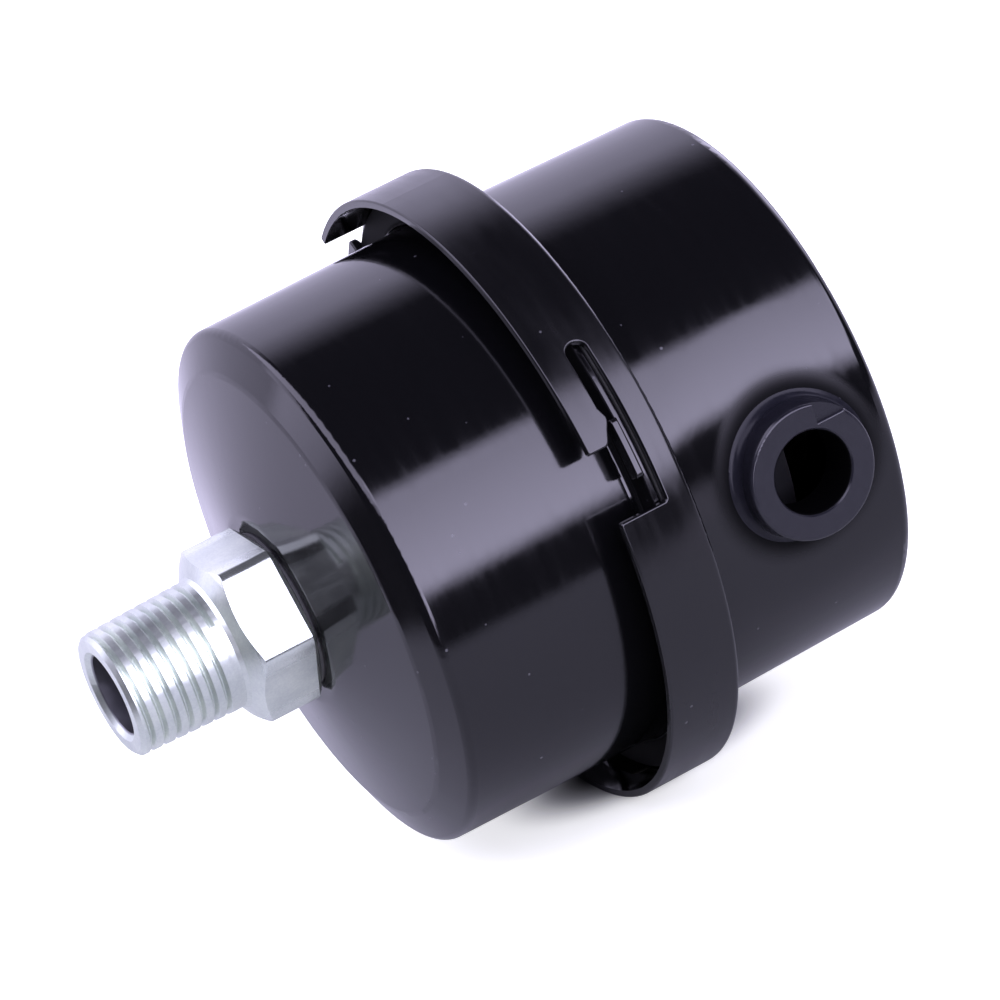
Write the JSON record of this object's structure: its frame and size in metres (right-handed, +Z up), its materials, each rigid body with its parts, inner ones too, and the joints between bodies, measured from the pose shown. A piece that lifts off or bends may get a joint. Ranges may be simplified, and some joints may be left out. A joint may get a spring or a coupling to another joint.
{
  "type": "pneumatic intake muffler",
  "caption": "Round two-part metal intake silencer and filter: threaded hex fitting on a crowned cup, bayonet collar on the rear cap, side air port.",
  "frame": {"origin": "on the axis, at the gauge plane of the taper pipe thread", "axes": "+X along the axis from the thread to the closed end of the rear cap, -Y out of the side port, +Z up"},
  "size_m": [0.0766, 0.067, 0.067],
  "materials": {
    "zinc": "zinc plated, semi-bright",
    "gasket_fibre": "black fibre",
    "black_enamel": "gloss black enamel on drawn steel",
    "black_enamel_cap": "gloss black enamel on drawn steel",
    "port_enamel": "satin black enamel",
    "zinc_inner": "zinc plated",
    "seal_foam": "closed-cell foam",
    "end_cap_resin": "moulded black resin",
    "galvanised_mesh": "galvanised sheet",
    "filter_paper": "pleated filter paper",
    "spring_steel": "drawn wire",
    "seal_rubber": "moulded rubber"
  },
  "bodies": {
    "base": {"pipe_fitting": "zinc", "fitting_gasket": "gasket_fibre", "front_cup": "black_enamel", "backing_washer": "zinc_inner", "lock_nut": "zinc_inner", "element_seal": "seal_foam", "front_end_ring": "end_cap_resin", "core_tube": "galvanised_mesh", "pleated_paper": "filter_paper", "outer_guard": "galvanised_mesh", "rear_end_disc": "end_cap_resin"},
    "cap": {"rear_cap": "black_enamel_cap", "port_bush": "port_enamel", "rim_gasket": "seal_rubber", "spring_cup": "spring_steel", "element_spring": "spring_steel"}
  },
  "joints": [
    {"name": "bayonet_twist", "type": "hinge", "parent": "base", "child": "cap", "pos_m": [0.0424, 0, 0], "axis": [1, 0, 0], "range_deg": [-4.5, 12]}
  ]
}
